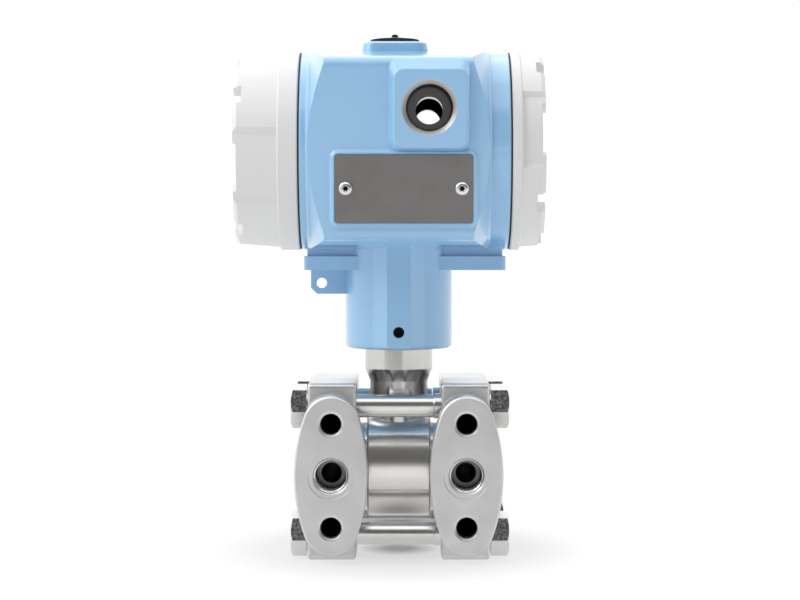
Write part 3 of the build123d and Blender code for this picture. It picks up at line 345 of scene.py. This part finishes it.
def gloss_paint():
    """Two-part spray paint on die-cast aluminium, with bare machined bores that darken inwards with painted
    shade.
    """
    material, tree, shader, place = new_material("blue_gloss_paint")
    conduit = ring_mask(tree, place, CONDUIT_CENTRE, FROM_Y_AXIS, CONDUIT_BARE_RADIUS)
    bores = ring_mask(tree, place, HEAD_CENTRE, FROM_X_AXIS, THREAD_BORE_RADIUS)
    bare = number(tree, "MAXIMUM", conduit, bores)
    inwards = number(tree, "SUBTRACT", part(tree, place, "Y"), AXIS_DEPTH * MM)
    # Painted shade: the bare metal darkens from the mouth of the conduit inwards
    unshaded_share = mapped(tree, number(tree, "ABSOLUTE", inwards), *BORE_SHADE_DEPTHS)
    metal = mix(tree, unshaded_share, linear("#4A4948"), linear("#C4C3C2"))
    paint = mix(tree, noise(tree, place, 60, 2.0), linear("#8FBFE6"), linear("#96C5EA"))
    tree.links.new(mix(tree, bare, paint, metal), shader.inputs["Base Color"])
    tree.links.new(bare, shader.inputs["Metallic"])
    tree.links.new(mapped(tree, bare, to_low=0.24, to_high=0.38), shader.inputs["Roughness"])
    shader.inputs["IOR"].default_value = 1.5
    shader.inputs["Coat Weight"].default_value = 1.0
    shader.inputs["Coat Roughness"].default_value = 0.10
    peel = noise(tree, place, 2.2, 1.0)
    tree.links.new(bumped(tree, peel, 0.06, 0.1, rounded(tree, 0.7, 6)), shader.inputs["Normal"])
    return material


# %% [markdown]
# The two screw covers are the same casting alloy under a pale grey satin coat. Satin paint scatters the
# light over a wide lobe, so it shows broad soft shading and no sharp mirror. Its spigot is machined and
# cut with a fine thread, which only shows once the cover is unscrewed: there the same distance mask
# switches to bare metal with a wave of the thread's pitch of 1.5 mm.

# %% Grey satin paint on the covers
COVER_PITCH = 1.5
SPIGOT_LEFT, SPIGOT_RIGHT = -40.6, 45.6
# The wave texture runs through this many radians over one unit of its scale
WAVE_RADIANS = 20


def satin_paint():
    """Satin polyester paint on a casting, with a machined and threaded spigot."""
    material, tree, shader, place = new_material("pale_grey_satin_paint")
    core = ring_mask(tree, place, HEAD_CENTRE, FROM_X_AXIS, THREAD_BORE_RADIUS)
    sides = part(tree, place, "X")
    right = number(tree, "LESS_THAN", sides, SPIGOT_RIGHT * MM)
    left = number(tree, "GREATER_THAN", sides, SPIGOT_LEFT * MM)
    spigot = number(tree, "MULTIPLY", core, number(tree, "MULTIPLY", right, left))
    paint = mix(tree, noise(tree, place, 45, 2.0), linear("#DEDEDE"), linear("#E2E2E1"))
    tree.links.new(mix(tree, spigot, paint, linear("#B4B2AF")), shader.inputs["Base Color"])
    tree.links.new(spigot, shader.inputs["Metallic"])
    shader.inputs["Roughness"].default_value = 0.46
    shader.inputs["IOR"].default_value = 1.5
    waves = {"Vector": place, "Scale": 2 * np.pi / (WAVE_RADIANS * COVER_PITCH * MM)}
    turns = add(tree, "ShaderNodeTexWave", waves, bands_direction="X").outputs["Fac"]
    skin = bumped(tree, noise(tree, place, 0.9, 3.0), 0.1, 0.05, rounded(tree, 0.3, 6))
    ridges = bumped(tree, number(tree, "MULTIPLY", turns, spigot), 1.0, 0.6, skin)
    tree.links.new(ridges, shader.inputs["Normal"])
    return material


# %% [markdown]
# All the steel is stainless, but each piece was made another way. The flanges were machined from bar and
# blasted, so they are satin. The drum and the neck were turned and polished. The bolts were drawn,
# rolled and left bright. One recipe serves them all: the colour drifts a little, the roughness varies in
# patches as handled metal does, and a noise that is stretched along the tool's path gives the grain.

# %% Stainless steel
STAIN = 0.9
PATCH_MM = 14


def steel(name, colour, roughness, spread, grain, grain_depth, edge_radius=0.3):
    """Metal of a base colour; grain is the size of its marks in mm along X, Y and Z.

    In patches, the colour falls to the share of STAIN and the roughness varies by the spread either way.
    """
    material, tree, shader, place = new_material(name)
    shader.inputs["Metallic"].default_value = 1.0
    patches = mapped(tree, noise(tree, place, PATCH_MM, 4.0), 0.3, 0.7)
    worn = mapped(tree, patches, to_low=roughness + spread, to_high=roughness - spread)
    tree.links.new(worn, shader.inputs["Roughness"])
    tint = mix(tree, patches, dimmed(colour, STAIN), linear(colour))
    tree.links.new(tint, shader.inputs["Base Color"])
    lengthwise = {"Vector": place, "Scale": tuple(per_mm(size) for size in grain)}
    stretched = add(tree, "ShaderNodeMapping", lengthwise).outputs[0]
    marks = add(tree, "ShaderNodeTexNoise", {"Vector": stretched, "Scale": 1.0, "Detail": 3.0}).outputs["Fac"]
    normal = bumped(tree, marks, grain_depth, 0.05, rounded(tree, edge_radius, 4))
    tree.links.new(normal, shader.inputs["Normal"])
    return material


polished_steel = steel("turned_polished_stainless_steel", "#E4E2DF", 0.19, 0.03, (0.25, 8.0, 8.0), 0.04)
neck_steel = steel("turned_stainless_neck", "#CFCECD", 0.16, 0.03, (8.0, 8.0, 0.25), 0.06)
bolt_steel = steel("bright_drawn_bolt_steel", "#DFDEDC", 0.20, 0.04, (3.0, 0.7, 0.7), 0.12)
screw_steel = steel("bright_screw_steel", "#DADADA", 0.22, 0.03, (1.0, 1.0, 1.0), 0.05, 0.15)
plate_screw_steel = steel("bright_plate_screw_steel", "#E4E4E4", 0.25, 0.03, (1.0, 1.0, 1.0), 0.05, 0.15)
black_steel = steel("black_oxide_steel", "#1C1C1E", 0.35, 0.04, (1.0, 1.0, 1.0), 0.1, 0.15)
brass = steel("turned_brass", "#C9A55A", 0.25, 0.05, (0.5, 0.5, 0.5), 0.05, 0.15)
plate_metal = steel("brushed_nickel_plate", "#918F8E", 0.42, 0.03, (6.0, 6.0, 0.12), 0.10, 0.15)
flange_steel = steel("drilled_stainless_steel", "#D8D8D8", 0.40, 0.05, (0.8, 0.8, 0.8), 0.12, 0.5)
thread_steel = steel("cut_thread_steel", "#E6E5E4", 0.24, 0.04, (0.5, 0.5, 0.5), 0.05)
# The conduit threads get a dark grey that paints the shade inside the bore
shaded_conduit_thread = steel("conduit_thread_painted_shade", "#6E6D6C", 0.38, 0.05, (0.5, 0.5, 0.5), 0.1, 0.15)
print("eleven metals")

# %% [markdown]
# Three places need more than one tone. Deep in a bore hardly any light is turned back, the forged flats
# of the bolt heads keep some scale, and the star sockets of the plate screws lie in their own shade. Each
# is found by its place on the object, and another colour is laid over the metal's own there: painted shade
# in the bores and sockets, and on the flats that face front and back mottled scale with painted shade.

# %% Painted shade in holes, scale and painted shade on facets
# Height of the axis, radius, first and last depth in mm, and the darkest colour
HOLE_SHADES = [
    (0, 8.2, 9.0, 15.0, "#8C8C8C"),
    (0, 4.2, 13.0, 16.0, "#101010"),
    (MOUNT_RISE / 2, 5.6, 1.0, 7.0, "#141414"),
]
PLATE_CENTRE = metres(2.0, 0, 114.1)
PLATE_SCREW_HALF_SPAN, SOCKET_RADIUS, HEAD_SKIN = 23.2, 2.2, 0.35


def recolour(tree, mask, colour):
    """Lay another colour over the material's own where the mask is 1."""
    base = tree.nodes["Principled BSDF"].inputs["Base Color"]
    tree.links.new(mix(tree, mask, base.links[0].from_socket, colour), base)


def shade_holes(material):
    """Darken the metal deep in the ports and the mounting holes, front and rear, left and right alike."""
    tree = material.node_tree
    place = object_place(tree)
    folded = vector(tree, "ABSOLUTE", place)
    behind = part(tree, vector(tree, "SUBTRACT", place, metres(0, AXIS_DEPTH, 0)), "Y")
    reach = number(tree, "ABSOLUTE", behind)
    for rise, radius, first, last, darkest in HOLE_SHADES:
        inside = ring_mask(tree, folded, metres(PORT_SPACING / 2, 0, rise), FROM_Y_AXIS, radius)
        sunk = mapped(tree, reach, *metres(AXIS_DEPTH - first, AXIS_DEPTH - last))
        recolour(tree, number(tree, "MULTIPLY", inside, sunk), linear(darkest))


def scale_and_shade_facets(material):
    """Darken the upright facets of the bolt heads and nuts with mottled forge scale and painted shade."""
    tree = material.node_tree
    place = object_place(tree)
    sideways = part(tree, vector(tree, "ABSOLUTE", place), "X")
    outside = number(tree, "GREATER_THAN", sideways, FLANGE_OUTER * MM)
    facing = part(tree, add(tree, "ShaderNodeNewGeometry").outputs["True Normal"], "Y")
    upright = number(tree, "GREATER_THAN", number(tree, "ABSOLUTE", facing), 0.95)
    spots = mapped(tree, noise(tree, place, 1.1, 3.0), 0.38, 0.66)
    scale_and_painted_shade = mix(tree, spots, linear("#8E8E8E"), linear("#EEEEEE"))
    # Mottled scale with painted shade on the flats that face front and back
    recolour(tree, number(tree, "MULTIPLY", outside, upright), scale_and_painted_shade)


def shade_sockets(material, screws):
    """Darken the star sockets of the two plate screws, which lie below the top of their heads."""
    tree = material.node_tree
    place = object_place(tree)
    folded = vector(tree, "ABSOLUTE", vector(tree, "SUBTRACT", place, PLATE_CENTRE))
    inside = ring_mask(tree, folded, metres(PLATE_SCREW_HALF_SPAN, 0, 0), FROM_Y_AXIS, SOCKET_RADIUS)
    head_top = min(vertex.co.y for vertex in screws.data.vertices)
    below = number(tree, "GREATER_THAN", part(tree, place, "Y"), head_top + HEAD_SKIN * MM)
    recolour(tree, number(tree, "MULTIPLY", inside, below), linear("#1A1A1A"))


shade_holes(flange_steel)
shade_holes(thread_steel)
scale_and_shade_facets(bolt_steel)
shade_sockets(plate_screw_steel, nodes["nameplate_screws"])
print("shade in", len(HOLE_SHADES), "kinds of bore")

# %% [markdown]
# What is not metal is moulded or cast: black nylon, darker potting round the electronics, soft keys,
# rubber seals, and the float glass of the window. They need less: a base colour, the IOR of a polymer,
# and a fine skin, because a moulding is never perfectly smooth.

# %% Mouldings, rubber, glass and display


def moulding(name, colour, roughness, skin_mm, depth):
    """Injection moulded or rubber part with a fine skin."""
    material, tree, shader, place = new_material(name)
    tint = mix(tree, noise(tree, place, 9, 3.0), dimmed(colour, 0.85), linear(colour))
    tree.links.new(tint, shader.inputs["Base Color"])
    shader.inputs["Roughness"].default_value = roughness
    shader.inputs["IOR"].default_value = 1.49
    tree.links.new(bumped(tree, noise(tree, place, skin_mm, 2.0), depth, 0.05), shader.inputs["Normal"])
    return material


black_plastic = moulding("black_nylon", "#1B1C1E", 0.42, 0.5, 0.2)
dark_plastic = moulding("dark_grey_potting", "#33363A", 0.55, 1.2, 0.2)
key_plastic = moulding("grey_key_plastic", "#6A6E73", 0.45, 0.6, 0.15)
black_rubber = moulding("black_rubber", "#17181A", 0.7, 0.6, 0.3)
# The seal is coloured a light blue-grey, painted light that lifts the shade in the joint gap
seal_rubber = moulding("seal_with_painted_light", "#7B8FA3", 0.5, 0.6, 0.2)
display_face = moulding("liquid_crystal_face", "#9BA58F", 0.18, 2.0, 0.02)

window, _, window_shader, _ = new_material("float_glass")
window_shader.inputs["Base Color"].default_value = (1, 1, 1, 1)
window_shader.inputs["Roughness"].default_value = 0.02
window_shader.inputs["IOR"].default_value = 1.52
window_shader.inputs["Transmission Weight"].default_value = 1.0
print("six mouldings and a glass")

# %% [markdown]
# Each slot name of the record stands for one finish. The frame's pieces keep their shape and only get a
# new material in their slot. Three pieces have a finish of their own: the steel neck, which is turned on
# another axis than the drum, so its grain runs the other way, and two kinds of small screw.

# %% Dress the frame's pieces
finishes = {
    "blue_paint": gloss_paint(),
    "grey_paint": satin_paint(),
    "flange_steel": flange_steel,
    "polished_steel": polished_steel,
    "bolt_steel": bolt_steel,
    "screw_steel": screw_steel,
    "plate_metal": plate_metal,
    "black_steel": black_steel,
    "black_plastic": black_plastic,
    "dark_plastic": dark_plastic,
    "key_plastic": key_plastic,
    "display_face": display_face,
    "black_rubber": black_rubber,
    "seal_ring": seal_rubber,
    "brass": brass,
    "window": window,
}
own_finish = {
    "cell_neck": neck_steel,
    "key_flap_screw": black_steel,
    "nameplate_screws": plate_screw_steel,
}
for subpart in frame["record"]["subparts"]:
    name = subpart["node"]
    for slot in nodes[name].material_slots:
        slot.material = own_finish.get(name, finishes[subpart["material_slot"]])
print("dressed", len(nodes), "pieces from", len(finishes), "slots")

# %% [markdown]
# Threads are what the construction model leaves out. A thread is a ridge that climbs round a cylinder,
# so its surface is a function of two parameters: the angle round the axis and the distance along it. The
# ridge stands where the distance, counted in pitches, minus the turns made so far is near a whole number.
# Each thread here is a closed ring of such a surface, let a little into the wall that carries it, with a
# ridge that fades out over its first and last turn.

# %% Thread surfaces
TURN_STEPS = 72
STEPS_PER_PITCH = 8


def closed_grid(name, points, material, body):
    """Mesh of a grid of points that closes on itself both ways, with its faces turned outwards."""
    rows, columns = points.shape[:2]
    index = np.arange(rows * columns).reshape(rows, columns)
    beside = np.roll(index, -1, axis=1)
    quads = np.stack(
        [index, beside, np.roll(beside, -1, axis=0), np.roll(index, -1, axis=0)], axis=-1
    ).reshape(-1, 4)
    flat = points.reshape(-1, 3)
    a, b, c, d = (flat[quads[:, i]] for i in range(4))
    volume = np.einsum("ij,ij->", a, np.cross(b, c) + np.cross(c, d))
    if volume < 0:
        quads = quads[:, ::-1]
    mesh = bpy.data.meshes.new(name)
    mesh.from_pydata(flat.tolist(), [], quads.tolist())
    mesh.polygons.foreach_set("use_smooth", np.ones(len(quads), dtype=bool))
    mesh.materials.append(material)
    made = bpy.data.objects.new(name, mesh)
    bpy.context.collection.objects.link(made)
    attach(made, body)
    return made


def thread(radius, length, pitch, height, wall=0.15, taper=0.0):
    """Grid (along, around, 2): distance along the axis and radius, both in mm.

    The radius is the wall's plus height times a triangle wave of (along / pitch - turns), faded out over
    the first and last turn. A positive height stands out of a shaft, a negative one out of a bore.
    """
    along = np.linspace(0, length, int(length / pitch * STEPS_PER_PITCH) + 1)[:, None]
    turns = np.linspace(0, 1, TURN_STEPS, endpoint=False)[None, :]
    wave = 1 - np.abs(2 * ((along / pitch - turns) % 1) - 1)
    fade = np.clip(np.minimum(along, length - along) / pitch, 0, 1)
    crest = np.clip(wave * 1.3 - 0.15, 0, 1) * fade
    ridged = radius - taper * along + height * crest
    back = radius - taper * np.array([[length], [0.0]]) - np.sign(height) * wall + 0 * turns
    distance = np.vstack([along + 0 * turns, np.array([[length], [0.0]]) + 0 * turns])
    return np.stack([distance, np.vstack([ridged, back])], axis=-1)


def carried(grid, origin, axis, across):
    """Points in metres of a thread grid whose axis starts at origin, in mm."""
    axis, across = np.array(axis, float), np.array(across, float)
    third = np.cross(axis, across)
    angle = np.linspace(0, 2 * np.pi, grid.shape[1], endpoint=False)[None, :, None]
    radial = np.cos(angle) * across + np.sin(angle) * third
    return (np.array(origin, float) + grid[..., :1] * axis + grid[..., 1:] * radial) * MM


print("a turn of thread has", TURN_STEPS * STEPS_PER_PITCH, "faces")

# %% [markdown]
# The process ports and the mounting holes are on the flanges. The ports have a tapered pipe thread of 18
# turns to the inch. The mounting holes have a metric M10 thread with a pitch of 1.5 mm at the front and a
# fine inch thread at the rear, and the conduit entries in the head have a pitch of 1.5 mm too.

# %% Threads in the flanges and in the head
PORT_PITCH, METRIC_PITCH, INCH_PITCH = 25.4 / 18, 1.5, 25.4 / 20
PORT_BORE, PORT_START, PORT_LENGTH, PORT_RIDGE, PORT_TAPER = 6.9, 1.0, 13.0, -0.8, 1 / 32
FRONT_BORE, REAR_BORE, MOUNT_START, MOUNT_LENGTH, MOUNT_RIDGE = 4.25, 4.95, 0.6, 14.0, -0.42
CONDUIT_BORE, CONDUIT_START, CONDUIT_LENGTH, CONDUIT_RIDGE = 9.3, 45.1, 10.2, -0.5
FRONT, REAR, SIDEWAYS = (0, 1, 0), (0, -1, 0), (1, 0, 0)

for side, side_name in ((-1, "left"), (1, "right")):
    flange_x = side * PORT_SPACING / 2
    port = thread(PORT_BORE, PORT_LENGTH, PORT_PITCH, PORT_RIDGE, taper=PORT_TAPER)
    closed_grid(
        side_name + "_port_thread",
        carried(port, (flange_x, PORT_START, 0), FRONT, SIDEWAYS),
        thread_steel,
        "cell",
    )
    for end, start, way, bore, pitch in (
        ("front", MOUNT_START, FRONT, FRONT_BORE, METRIC_PITCH),
        ("rear", DEPTH - MOUNT_START, REAR, REAR_BORE, INCH_PITCH),
    ):
        for rise, rise_name in ((1, "upper"), (-1, "lower")):
            hole = thread(bore, MOUNT_LENGTH, pitch, MOUNT_RIDGE)
            closed_grid(
                f"{side_name}_{rise_name}_{end}_mount_thread",
                carried(hole, (flange_x, start, rise * MOUNT_RISE / 2), way, SIDEWAYS),
                thread_steel,
                "cell",
            )

for end, way, side in (("front", FRONT, -1), ("rear", REAR, 1)):
    entry = thread(CONDUIT_BORE, CONDUIT_LENGTH, METRIC_PITCH, CONDUIT_RIDGE)
    closed_grid(
        f"{end}_conduit_thread",
        carried(entry, (CONDUIT_X, AXIS_DEPTH + side * CONDUIT_START, CONDUIT_Z), way, SIDEWAYS),
        shaded_conduit_thread,
        "head",
    )
print("threads cut in 2 ports, 8 mounting holes and 2 conduit entries")

# %% Threads on the bolts
BOLT_Y, BOLT_Z, BOLT_RADIUS, BOLT_RIDGE = 26.5, 26.0, 4.85, 0.15
THREAD_START, THREAD_END = 14.5, 19.3
for number_of_bolt, (y, z) in enumerate([(y, z) for y in (-1, 1) for z in (-1, 1)], 1):
    rod = thread(BOLT_RADIUS, THREAD_END - THREAD_START, METRIC_PITCH, BOLT_RIDGE)
    closed_grid(
        f"bolt_thread_{number_of_bolt}",
        carried(rod, (THREAD_START, AXIS_DEPTH + y * BOLT_Y, z * BOLT_Z), SIDEWAYS, FRONT),
        bolt_steel,
        "cell",
    )
print("threads cut on 4 bolts, from", THREAD_START, "mm right of the middle")
